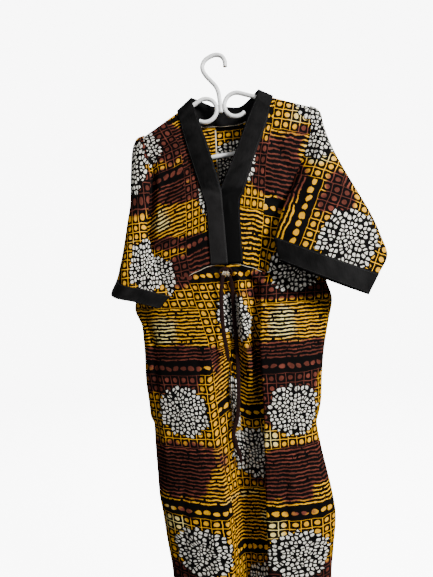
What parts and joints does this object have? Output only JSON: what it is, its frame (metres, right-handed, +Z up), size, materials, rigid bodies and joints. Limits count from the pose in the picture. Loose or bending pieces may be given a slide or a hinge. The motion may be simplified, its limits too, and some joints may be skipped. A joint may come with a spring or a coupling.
{
  "type": "wax print dress on a hanger",
  "caption": "Long wax print kaftan dress with half sleeves, black cuffs, neck band and placket, gathered centre front, hanging on a white plastic hanger.",
  "frame": {"origin": "the seat of the hanger's hook, the top of the hook's inner side, where it rests on a rail", "axes": "+Z up, +X to the right of someone who looks at the front of the dress, the front faces -Y"},
  "size_m": [0.5796, 0.1313, 1.4692],
  "materials": {
    "printed_cotton": "plain weave cotton with a wax print of black, brown, golden yellow and cream",
    "black_cotton": "smooth black cotton sateen, faint sheen",
    "tie_string": "folded printed cotton, dark brown",
    "white_plastic": "white moulded plastic tube, soft gloss"
  },
  "bodies": {
    "root": {"hanger": "white_plastic", "bodice_left": "printed_cotton", "bodice_right": "printed_cotton", "skirt_front": "printed_cotton", "back_bodice_left": "printed_cotton", "back_bodice_right": "printed_cotton", "back_skirt_left": "printed_cotton", "back_skirt_right": "printed_cotton", "sleeve_left": "printed_cotton", "sleeve_right": "printed_cotton", "cuff_left": "black_cotton", "cuff_right": "black_cotton", "neck_band_left": "black_cotton", "neck_band_right": "black_cotton", "tie_knot": "tie_string", "tie_long": "tie_string", "tie_deep": "tie_string"}
  },
  "joints": []
}
